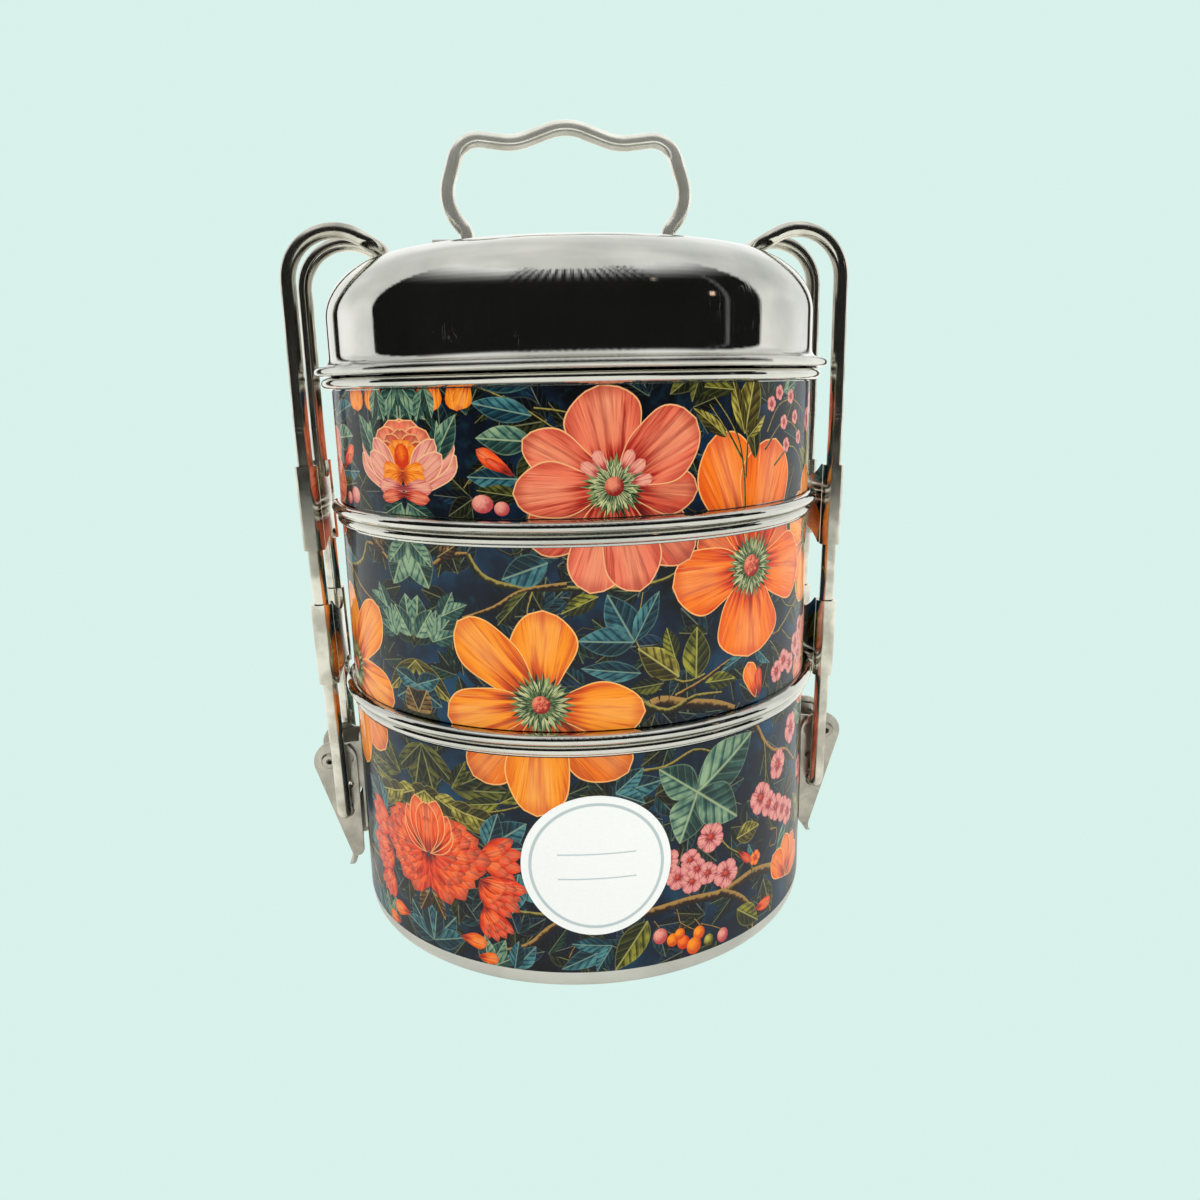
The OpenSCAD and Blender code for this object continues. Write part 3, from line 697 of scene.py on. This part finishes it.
def undergrowth(art):
    """Dim leaves and tendrils scattered behind everything, so that little bare ground is left."""
    step = 11.0
    low, high = BANDS["bottom_film"][0], BANDS["top_film"][1]
    for row, v in enumerate(np.arange(low + 4, high, step * 0.8)):
        for u in np.arange(MIRROR_AT + step * 0.5 * (row % 2), MIRROR_AT + HALF_TURN, step):
            spot = (u + art.random.uniform(-3, 3), v + art.random.uniform(-3, 3))
            turn = art.random.uniform(0, 360)
            for lean in (-38, 0, 36):
                art.leaf(SHADE[int(art.random.integers(len(SHADE)))], *spot, turn + lean,
                         art.random.uniform(7, 11), art.random.uniform(3.2, 5.5))
    for i in range(26):
        start = np.array((MIRROR_AT + HALF_TURN * i / 26, art.random.uniform(low, high)))
        bends = [start + (4 * k, 3 * math.sin(1.3 * k + i) + k) for k in range(5)]
        art.stem(VINE_DIM, bends, 0.5, 0.25)


def draw_pattern():
    """The whole half pattern, back parts first."""
    art = Print(seed=11)
    undergrowth(art)
    draw_back(art)
    draw_bottom(art)
    draw_middle(art)
    draw_top(art)
    return art


def inside(spots, outline):
    """Which spots lie within an outline, by counting the edges each one's ray crosses."""
    x, y = spots[:, :1], spots[:, 1:]
    ax, ay = outline.T
    bx, by = np.roll(outline, -1, axis=0).T
    crosses = (ay > y) != (by > y)
    rise = np.where(by == ay, 1.0, by - ay)
    left_of = x < ax + (y - ay) * (bx - ax) / rise
    return (crosses & left_of).sum(axis=1) % 2 == 1


def near(spots, outline):
    """Indices of the spots within an outline's box."""
    low, high = outline.min(axis=0), outline.max(axis=0)
    return np.nonzero(((spots > low) & (spots < high)).all(axis=1))[0]


def visible_edges(art):
    """The outlines' edges as pairs of ends, without those that later motifs cover."""
    starts, ends, owners = [], [], []
    for index, motif in enumerate(art.motifs):
        for outline in (motif.outer, motif.inner):
            if outline is not None:
                starts.append(outline)
                ends.append(np.roll(outline, -1, axis=0))
                owners.append(np.full(len(outline), index))
    starts, ends, owners = np.concatenate(starts), np.concatenate(ends), np.concatenate(owners)
    covered = np.zeros(len(starts), bool)
    for index, motif in enumerate(art.motifs):
        tests = [np.zeros(len(starts), bool) for _ in range(3)]
        for test, spots in zip(tests, (starts, (starts + ends) / 2, ends)):
            close = near(spots, motif.outer)
            close = close[owners[close] < index]
            if len(close):
                test[close] = inside(spots[close], motif.outer)
        covered |= tests[0] & tests[1] & tests[2]
    return starts[~covered], ends[~covered]


def triangulate(art):
    """Cuts the half wall into triangles along every outline, with a grid so that they bend.
    Returns points, triangles, and the topmost motif of each triangle with its rim flag."""
    low = min(band[0] for band in BANDS.values())
    high = max(band[1] for band in BANDS.values())
    left, right = MIRROR_AT, MIRROR_AT + HALF_TURN
    starts, ends = visible_edges(art)
    points = [tuple(p) for pair in zip(starts, ends) for p in pair]

    def line(a, b):
        points.extend((a, b))

    for u in np.linspace(left, right, round(HALF_TURN / GRID_STEP) + 1):
        line((u, low - 1), (u, high + 1))
    for level in sorted({v for band in BANDS.values() for v in band} | {WINDOW_LOW, WINDOW_TOP}):
        line((left, level), (right, level))
    for side in (-1, 1):
        for u in (QUARTER_TURN + side * WINDOW_HALF, 2 * MIRROR_AT + QUARTER_TURN + side * WINDOW_HALF):
            line((u, WINDOW_LOW), (u, WINDOW_TOP))
    edges = [(i, i + 1) for i in range(0, len(points), 2)]
    cut = delaunay_2d_cdt([Vector(p) for p in points], edges, [], 0, 1e-4, False)
    spots = np.array([tuple(p) for p in cut[0]])
    triangles = np.array(cut[2])
    middle = spots[triangles].mean(axis=1)
    motif = np.full(len(triangles), -1)
    rim = np.zeros(len(triangles), bool)
    for index, item in enumerate(art.motifs):
        close = near(middle, item.outer)
        if len(close):
            close = close[inside(middle[close], item.outer)]
            motif[close] = index
            rim[close] = item.inner is not None
        if item.inner is not None and len(close):
            rim[close[inside(middle[close], item.inner)]] = False
    return spots, triangles, motif, rim


def local_frame(art, motif_of, spots):
    """Each spot in its motif's own terms: along 0 to 1, across -1 to 1, and a seed."""
    ground = (0, 0, 0, 1, 1, 0)
    rows = np.array([*(m.local for m in art.motifs), ground])
    u, v, turn, length, half, seed = rows[motif_of].T
    du, dv = spots[:, 0] - u, spots[:, 1] - v
    along = (du * np.cos(turn) + dv * np.sin(turn)) / length
    across = (-du * np.sin(turn) + dv * np.cos(turn)) / half
    return np.stack((along, across, seed), axis=1)


def wrap(spots, lift):
    """Unrolled millimetres to places round the wall, in metres."""
    angle = spots[:, 0] / BODY_R
    radius = (BODY_R + lift) * MM
    return np.stack((radius * np.sin(angle), -radius * np.cos(angle), spots[:, 1] * MM), axis=1)


def add_layer(mesh, name, kind, values):
    """Stores values on a mesh's corners for the inks to read."""
    layer = mesh.attributes.new(name, kind, "CORNER")
    key = {"FLOAT": "value", "FLOAT_VECTOR": "vector", "FLOAT_COLOR": "color"}[kind]
    layer.data.foreach_set(key, np.asarray(values, np.float32).ravel())


def halves(film, middle):
    """For both halves of the wall: whether it is mirrored, and which triangles the film shows there."""
    low, high = BANDS[film]
    across, up = middle.T
    keep = (up > low) & (up < high) & (across > MIRROR_AT) & (across < MIRROR_AT + HALF_TURN)
    for mirrored in (False, True):
        place = 2 * MIRROR_AT - across if mirrored else across
        shown = keep.copy()
        if film == "bottom_film":
            off = np.abs(np.abs(np.remainder(place + HALF_TURN, GIRTH) - HALF_TURN) - QUARTER_TURN)
            shown &= ~((off < WINDOW_HALF) & (up > WINDOW_LOW) & (up < WINDOW_TOP))
        yield mirrored, shown


def weld(mesh):
    """Joins the triangles' corners and shades the mesh smooth."""
    work = bmesh.new()
    work.from_mesh(mesh)
    bmesh.ops.remove_doubles(work, verts=work.verts, dist=1e-7)
    work.to_mesh(mesh)
    work.free()
    mesh.polygons.foreach_set("use_smooth", [True] * len(mesh.polygons))
    mesh.update()


def print_on(film, art, cut, materials):
    """The printed skin of one tier: the band of the pattern at its height, on both halves."""
    spots, triangles, motif, rim = cut
    points, faces, local, owner, rims = [], [], [], [], []
    for mirrored, shown in halves(film, spots[triangles].mean(axis=1)):
        corners = spots[triangles[shown]].reshape(-1, 2)
        local.append(local_frame(art, np.repeat(motif[shown], 3), corners))
        place = corners.copy()
        if mirrored:
            place[:, 0] = 2 * MIRROR_AT - place[:, 0]
        order = np.arange(len(corners)).reshape(-1, 3) + sum(len(p) for p in points)
        faces.append(order[:, ::-1] if mirrored else order)
        points.append(place)
        owner.append(motif[shown])
        rims.append(rim[shown])
    gathered = (points, faces, local, owner, rims)
    points, faces, local, owner, rims = (np.concatenate(part) for part in gathered)
    mesh = bpy.data.meshes.new(film.replace("film", "print"))
    mesh.from_pydata(wrap(points, PRINT_LIFT), [], faces.tolist())
    add_layer(mesh, "local", "FLOAT_VECTOR", local[faces.ravel()])
    add_layer(mesh, "rim", "FLOAT", np.repeat(rims.astype(float), 3))
    # The ground has no motif: index -1 picks the entry put at the end
    for tint in ("deep", "light"):
        tints = np.array([*(getattr(m, tint) for m in art.motifs), BLACK])[owner]
        add_layer(mesh, tint + "_tint", "FLOAT_COLOR", np.repeat(tints, 3, axis=0))
    for material in materials:
        mesh.materials.append(material)
    kinds = np.array([*(m.kind for m in art.motifs), GROUND])[owner]
    mesh.polygons.foreach_set("material_index", kinds.astype(np.int32))
    obj = bpy.data.objects.new(mesh.name, mesh)
    bpy.context.collection.objects.link(obj)
    weld(mesh)
    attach(obj, BODY_OF[film])


# ---------------- printed film's inks


def varnish(n, colour):
    """The film's clear gloss over a colour, deepened as ink is under gloss, a little uneven."""
    coord, _ = n.place()
    deepen = n.add("ShaderNodeGamma")
    n.put(colour, deepen.inputs[0])
    deepen.inputs[1].default_value = 1.18
    n.set(Base_Color=deepen.outputs[0], Roughness=0.5, Specular_IOR_Level=0.12)
    n.set(Coat_Weight=0.5, Coat_Roughness=0.04, Coat_IOR=1.4)
    n.bump(n.noise(coord, 130.0, 2.0), 0.00006, 0.35)
    return n.material


def ink_parts(n):
    """Place along and across the motif, its seed, and its two tints."""
    along, across, seed = n.split(n.attribute("local", "Vector"))
    return along, across, seed, n.attribute("deep_tint", "Color"), n.attribute("light_tint", "Color")


def shades(n, tone, deep, light):
    """From nearly black through deep to light as tone goes from 0 to 1."""
    shadow = n.mix(0.62, deep, srgb(8, 16, 22))
    low = n.mix(n.span(tone, 0.0, 0.42), shadow, deep)
    return n.mix(n.span(tone, 0.3, 0.85), low, light)


def ground_ink():
    """Dark blue ground, brushed lighter and greener in clouds."""
    n = Nodes("ground_ink")
    coord, _ = n.place()
    clouds = n.noise(coord, 34.0, 5.0)
    brush = n.noise(coord, 260.0, 4.0)
    dark = n.mix(n.span(clouds, 0.36, 0.5), srgb(5, 14, 24), srgb(12, 36, 58))
    deep = n.mix(n.span(clouds, 0.5, 0.7), dark, srgb(16, 84, 116))
    return varnish(n, n.mix(n.span(brush, 0.5, 0.8, 0.0, 0.55), deep, srgb(30, 84, 98)))


def petal_ink():
    """Petals: strokes fanning from a dark base, a crease down the middle, cream rim."""
    n = Nodes("petal_ink")
    along, across, seed, deep, light = ink_parts(n)
    fan = n.math("DIVIDE", across, n.plus(n.magnitude(along), 0.35))
    strokes = n.grain((fan, 5.0), (along, 1.3), (seed, 40.0), detail=3.0)
    fine = n.grain((fan, 24.0), (along, 2.0), (seed, 40.0), detail=2.0)
    base = n.span(along, 0.12, 0.55, 0.55, 0.0)
    tip = n.span(along, 0.8, 1.0, 0.0, 0.12)
    crease = n.span(n.magnitude(across), 0.0, 0.14, 0.22, 0.0)
    tone = n.plus(0.8, n.times(n.minus(strokes, 0.5), 2.1))
    for shade in (base, tip, crease):
        tone = n.minus(tone, shade)
    colour = shades(n, tone, deep, light)
    pale = n.mix(0.5, light, srgb(255, 226, 176))
    colour = n.mix(n.span(fine, 0.56, 0.74, 0.0, 0.6), colour, pale)
    colour = n.mix(n.span(fine, 0.44, 0.28, 0.0, 0.6), colour, deep)
    flush = n.times(n.span(n.magnitude(across), 0.1, 0.65, 0.3, 0.0), n.span(along, 0.3, 0.62))
    colour = n.mix(flush, colour, pale)
    side = n.span(n.magnitude(across), 0.6, 0.95, 0.0, 0.5)
    colour = n.mix(n.math("MAXIMUM", side, n.span(along, 0.82, 0.97, 0.0, 0.45)), colour, deep)
    rim = n.attribute("rim")
    return varnish(n, n.mix(n.times(rim, 0.85), colour, n.mix(0.6, light, srgb(255, 226, 160))))


def leaf_ink():
    """Leaves: one half in shade, a pale midrib and faint slanting veins."""
    n = Nodes("leaf_ink")
    along, across, seed, deep, light = ink_parts(n)
    side = n.magnitude(across)
    clouds = n.grain((along, 3.0), (across, 1.0), (seed, 30.0), detail=2.5)
    flip = n.minus(n.times(n.math("GREATER_THAN", seed, 0.5), 2.0), 1.0)
    half = n.span(n.times(across, flip), -0.25, 0.3, 0.2, 0.62)
    tone = n.plus(half, n.times(n.minus(clouds, 0.5), 1.3))
    slant = n.math("FRACT", n.times(n.minus(along, n.times(side, 0.32)), 5.0))
    shade = n.span(slant, 0.5, 1.0, 0.0, 0.32)
    colour = shades(n, n.minus(tone, shade), deep, light)
    vein = n.span(n.magnitude(n.minus(slant, 0.5)), 0.0, 0.09, 0.2, 0.0)
    rib = n.span(side, 0.02, 0.09, 0.75, 0.0)
    colour = n.mix(n.math("MAXIMUM", vein, rib), colour, n.mix(0.3, light, srgb(226, 222, 168)))
    rim = n.attribute("rim")
    return varnish(n, n.mix(n.times(rim, 0.3), colour, n.mix(0.2, light, srgb(220, 210, 150))))


def stem_ink():
    """Stems and branches: lit along one side, with bark streaks."""
    n = Nodes("stem_ink")
    _, across, _, deep, light = ink_parts(n)
    coord, _ = n.place()
    bark = n.noise(coord, 900.0, 3.0)
    lit = n.span(n.plus(across, n.times(n.minus(bark, 0.5), 1.6)), -0.7, 0.9)
    return varnish(n, shades(n, lit, deep, light))


def dot_ink():
    """Berries, buds and flower centres: shaded as round, stippled."""
    n = Nodes("dot_ink")
    along, across, _, deep, light = ink_parts(n)
    coord, _ = n.place()
    from_light = n.far(n.plus(along, 0.3), n.minus(across, 0.35))
    stipple = n.noise(coord, 1500.0, 2.0)
    tone = n.plus(from_light, n.times(n.minus(stipple, 0.5), 0.9))
    return varnish(n, n.mix(n.span(tone, 0.2, 1.25), light, deep))


def star_ink():
    """Stamens: fine spokes from the flower's middle, dark between."""
    n = Nodes("star_ink")
    along, across, seed, deep, light = ink_parts(n)
    turn = n.math("ARCTAN2", across, along)
    reach = n.far(along, across)
    spokes = n.grain((turn, 14.0), (reach, 1.5), (seed, 20.0), detail=2.0)
    tone = n.plus(n.span(spokes, 0.38, 0.62), n.times(n.minus(reach, 0.6), 0.8))
    return varnish(n, n.mix(n.span(tone, 0.0, 1.1), deep, light))


# ---------------- the object's looks


def paint(nodes, material):
    """Gives CAD nodes a material."""
    for name in nodes:
        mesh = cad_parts[name].data
        mesh.materials.clear()
        mesh.materials.append(material)


TIER_PARTS = ("bottom_container", "middle_container", "top_container")
WIRE_PARTS = ("left_wire_loop", "right_wire_loop", "left_upper_bridge", "left_lower_bridge",
              "right_upper_bridge", "right_lower_bridge")
SATIN_PARTS = ("left_handle_strap", "right_handle_strap", "left_latch_bracket", "right_latch_bracket",
               "left_pivot_rivet", "right_pivot_rivet", "left_lever", "right_lever")

paint(TIER_PARTS, polished_steel("polished_tier", 0.2 * MM))
paint(("lid_shell",), polished_steel("polished_lid", 0.9 * MM))
clamp_wire = wire_steel("clamp_wire", srgb(222, 218, 206), srgb(176, 171, 158), 0.12, 0.24, 1.0)
paint(WIRE_PARTS, clamp_wire)
# Painted light: the handle is the clamps' wire steel made lighter and less metallic, standing in for the
# bright room it mirrors
lit_handle_wire = wire_steel("lit_handle_wire", srgb(254, 251, 240), srgb(230, 226, 213), 0.18, 0.28, 0.72)
paint(("carry_handle",), lit_handle_wire)
paint(SATIN_PARTS, satin_steel())
paint(FILMS, film_edge())
paint(("round_label",), sticker_paper())

pattern = draw_pattern()
pattern_cut = triangulate(pattern)
inks = [ground_ink(), petal_ink(), leaf_ink(), stem_ink(), dot_ink(), star_ink()]
for film_name in FILMS:
    print_on(film_name, pattern, pattern_cut, inks)


# ---------------- stage, light and camera

# Watts of each softbox, and the point they aim at
SOFTBOX_POWER = 0.8
AIM_AT = Vector((0, 0, 0.1))


def soft_light(name, place, size):
    """A softbox aimed at the middle of the object, which steel doesn't mirror."""
    lamp = bpy.data.lights.new(name, "AREA")
    lamp.shape = "RECTANGLE"
    lamp.size, lamp.size_y = size
    lamp.energy = SOFTBOX_POWER
    box = bpy.data.objects.new(name, lamp)
    bpy.context.collection.objects.link(box)
    box.location = place
    aim = AIM_AT - Vector(place)
    box.rotation_euler = aim.to_track_quat("-Z", "Y").to_euler()
    box.visible_camera = False
    box.visible_glossy = False


def stage_sheet(name, rows, material):
    """A sheet through rows of points, attached to no body."""
    work = bmesh.new()
    rows = [[work.verts.new(point) for point in row] for row in rows]
    for near_row, far_row in zip(rows, rows[1:]):
        for i in range(len(near_row) - 1):
            work.faces.new((near_row[i], near_row[i + 1], far_row[i + 1], far_row[i]))
    mesh = bpy.data.meshes.new(name)
    work.to_mesh(mesh)
    work.free()
    mesh.materials.append(material)
    sheet = bpy.data.objects.new(name, mesh)
    bpy.context.collection.objects.link(sheet)
    return sheet


# Half the floor's side and the dark wall's radius and height, in metres, and its sweep from the front
FLOOR_HALF = 4.0
WALL_R = 0.6
WALL_LOW, WALL_HIGH = 0.03, 1.25
WALL_SPREAD = (math.radians(-98), math.radians(84))


def floor_paper():
    """Lit white paper, a little uneven."""
    n = Nodes("floor_paper")
    coord, _ = n.place()
    paper = n.mix(n.noise(coord, 2.0), srgb(240, 241, 236), srgb(232, 235, 230))
    n.set(Base_Color=paper, Roughness=0.9, Emission_Color=paper, Emission_Strength=0.25)
    return n.material


def dark_room():
    """Dark room, with a slatted bright opening along its top, a dim strip and three warm lamps."""
    n = Nodes("dark_room")
    _, angle, _, z = around_axis(n)
    from_front = n.minus(math.pi, n.magnitude(angle))
    to_right = n.times(from_front, n.math("SIGN", angle))
    slats = n.span(n.math("SINE", n.times(angle, 80.0)), 0.0, 0.4)
    slats = n.math("MAXIMUM", slats, n.span(from_front, 0.55, 0.75))
    glow = n.times(slats, n.span(z, WALL_HIGH * 0.45, WALL_HIGH * 0.95))
    from_strip = n.magnitude(n.minus(to_right, 1.12))
    glow = n.math("MAXIMUM", glow, n.span(from_strip, 0.012, 0.02, 0.16, 0.0))
    lamps = 0.0
    for place, height, size in ((0.62, 0.62, 0.022), (1.0, 0.3, 0.02), (1.0, 0.09, 0.012)):
        away = n.far(n.times(n.minus(to_right, place), WALL_R), n.minus(z, height))
        lamps = n.math("MAXIMUM", lamps, n.span(away, 0.0, size, 1.0, 0.0))
    n.set(Base_Color=srgb(4, 5, 6), Roughness=1.0)
    n.set(Emission_Color=n.mix(lamps, srgb(250, 252, 255), srgb(255, 176, 96)))
    n.set(Emission_Strength=n.math("MAXIMUM", glow, n.times(lamps, 4.0)))
    return n.material


def arc_at(height):
    """Points along the curved wall's plan at one height."""
    turns = np.linspace(*WALL_SPREAD, 49)
    return [(WALL_R * math.sin(a), -WALL_R * math.cos(a), height) for a in turns]


# The floor lights the part and shows in its steel; the camera sees the flat backdrop instead
floor_rows = [[(x, y, 0) for x in (-FLOOR_HALF, FLOOR_HALF)] for y in (-FLOOR_HALF, FLOOR_HALF)]
floor = stage_sheet("floor", floor_rows, floor_paper())
floor.visible_camera = False

# Only steel and gloss see the dark wall: it throws no shadow and dims nothing
wall = stage_sheet("dark_wall", [arc_at(WALL_LOW), arc_at(WALL_HIGH)], dark_room())
wall.visible_camera = False
wall.visible_diffuse = False
wall.visible_shadow = False

# The backdrop is flat mint; the tent that lights the part is white with soft patches
world = bpy.data.worlds.new("studio")
world.use_nodes = True
sky = world.node_tree
seen = sky.nodes.new("ShaderNodeLightPath")
patches = sky.nodes.new("ShaderNodeTexNoise")
patches.inputs["Scale"].default_value = 1.3
tent = sky.nodes.new("ShaderNodeValToRGB")
tent.color_ramp.elements[0].position, tent.color_ramp.elements[1].position = 0.38, 0.62
tent.color_ramp.elements[0].color = (0.78, 0.8, 0.79, 1)
tent.color_ramp.elements[1].color = (1.12, 1.14, 1.13, 1)
tint = sky.nodes.new("ShaderNodeMix")
tint.data_type = "RGBA"
tint.inputs[7].default_value = srgb(216, 241, 235)
sky.links.new(patches.outputs["Fac"], tent.inputs[0])
sky.links.new(seen.outputs["Is Camera Ray"], tint.inputs[0])
sky.links.new(tent.outputs[0], tint.inputs[6])
sky.links.new(tint.outputs[2], sky.nodes["Background"].inputs["Color"])
bpy.context.scene.world = world

# Softboxes: name, place and size in metres
for lamp_name, lamp_place, lamp_size in (("left_softbox", (-0.7, 0.35, 0.5), (0.6, 0.8)),
                                         ("right_softbox", (0.7, 0.35, 0.5), (0.6, 0.8)),
                                         ("top_softbox", (0.0, -0.25, 1.1), (0.7, 0.5))):
    soft_light(lamp_name, lamp_place, lamp_size)

# The camera stands close in front, a little to the left; it looks down and leans slightly
HEADING = math.radians(6.27)
PITCH = math.radians(12.95)
ROLL = math.radians(1.24)
EYE = Vector((-22.8, -266.1, 145.3)) * MM
FOCAL_IN_FRAMES = 0.774
level_ahead = Vector((math.sin(HEADING), math.cos(HEADING), 0))
ahead = level_ahead * math.cos(PITCH) - Vector((0, 0, math.sin(PITCH)))
level_right = Vector((math.cos(HEADING), -math.sin(HEADING), 0))
level_up = level_right.cross(ahead)
right = level_right * math.cos(ROLL) - level_up * math.sin(ROLL)
up = level_right * math.sin(ROLL) + level_up * math.cos(ROLL)
lens = bpy.data.cameras.new("camera")
lens.sensor_width = 36.0
lens.lens = lens.sensor_width * FOCAL_IN_FRAMES
lens.clip_start = 0.01
camera = bpy.data.objects.new("camera", lens)
bpy.context.collection.objects.link(camera)
turn = Matrix((right, up, -ahead)).transposed().to_4x4()
camera.matrix_world = Matrix.Translation(EYE) @ turn
bpy.context.scene.camera = camera

bpy.context.scene.view_settings.view_transform = "Standard"
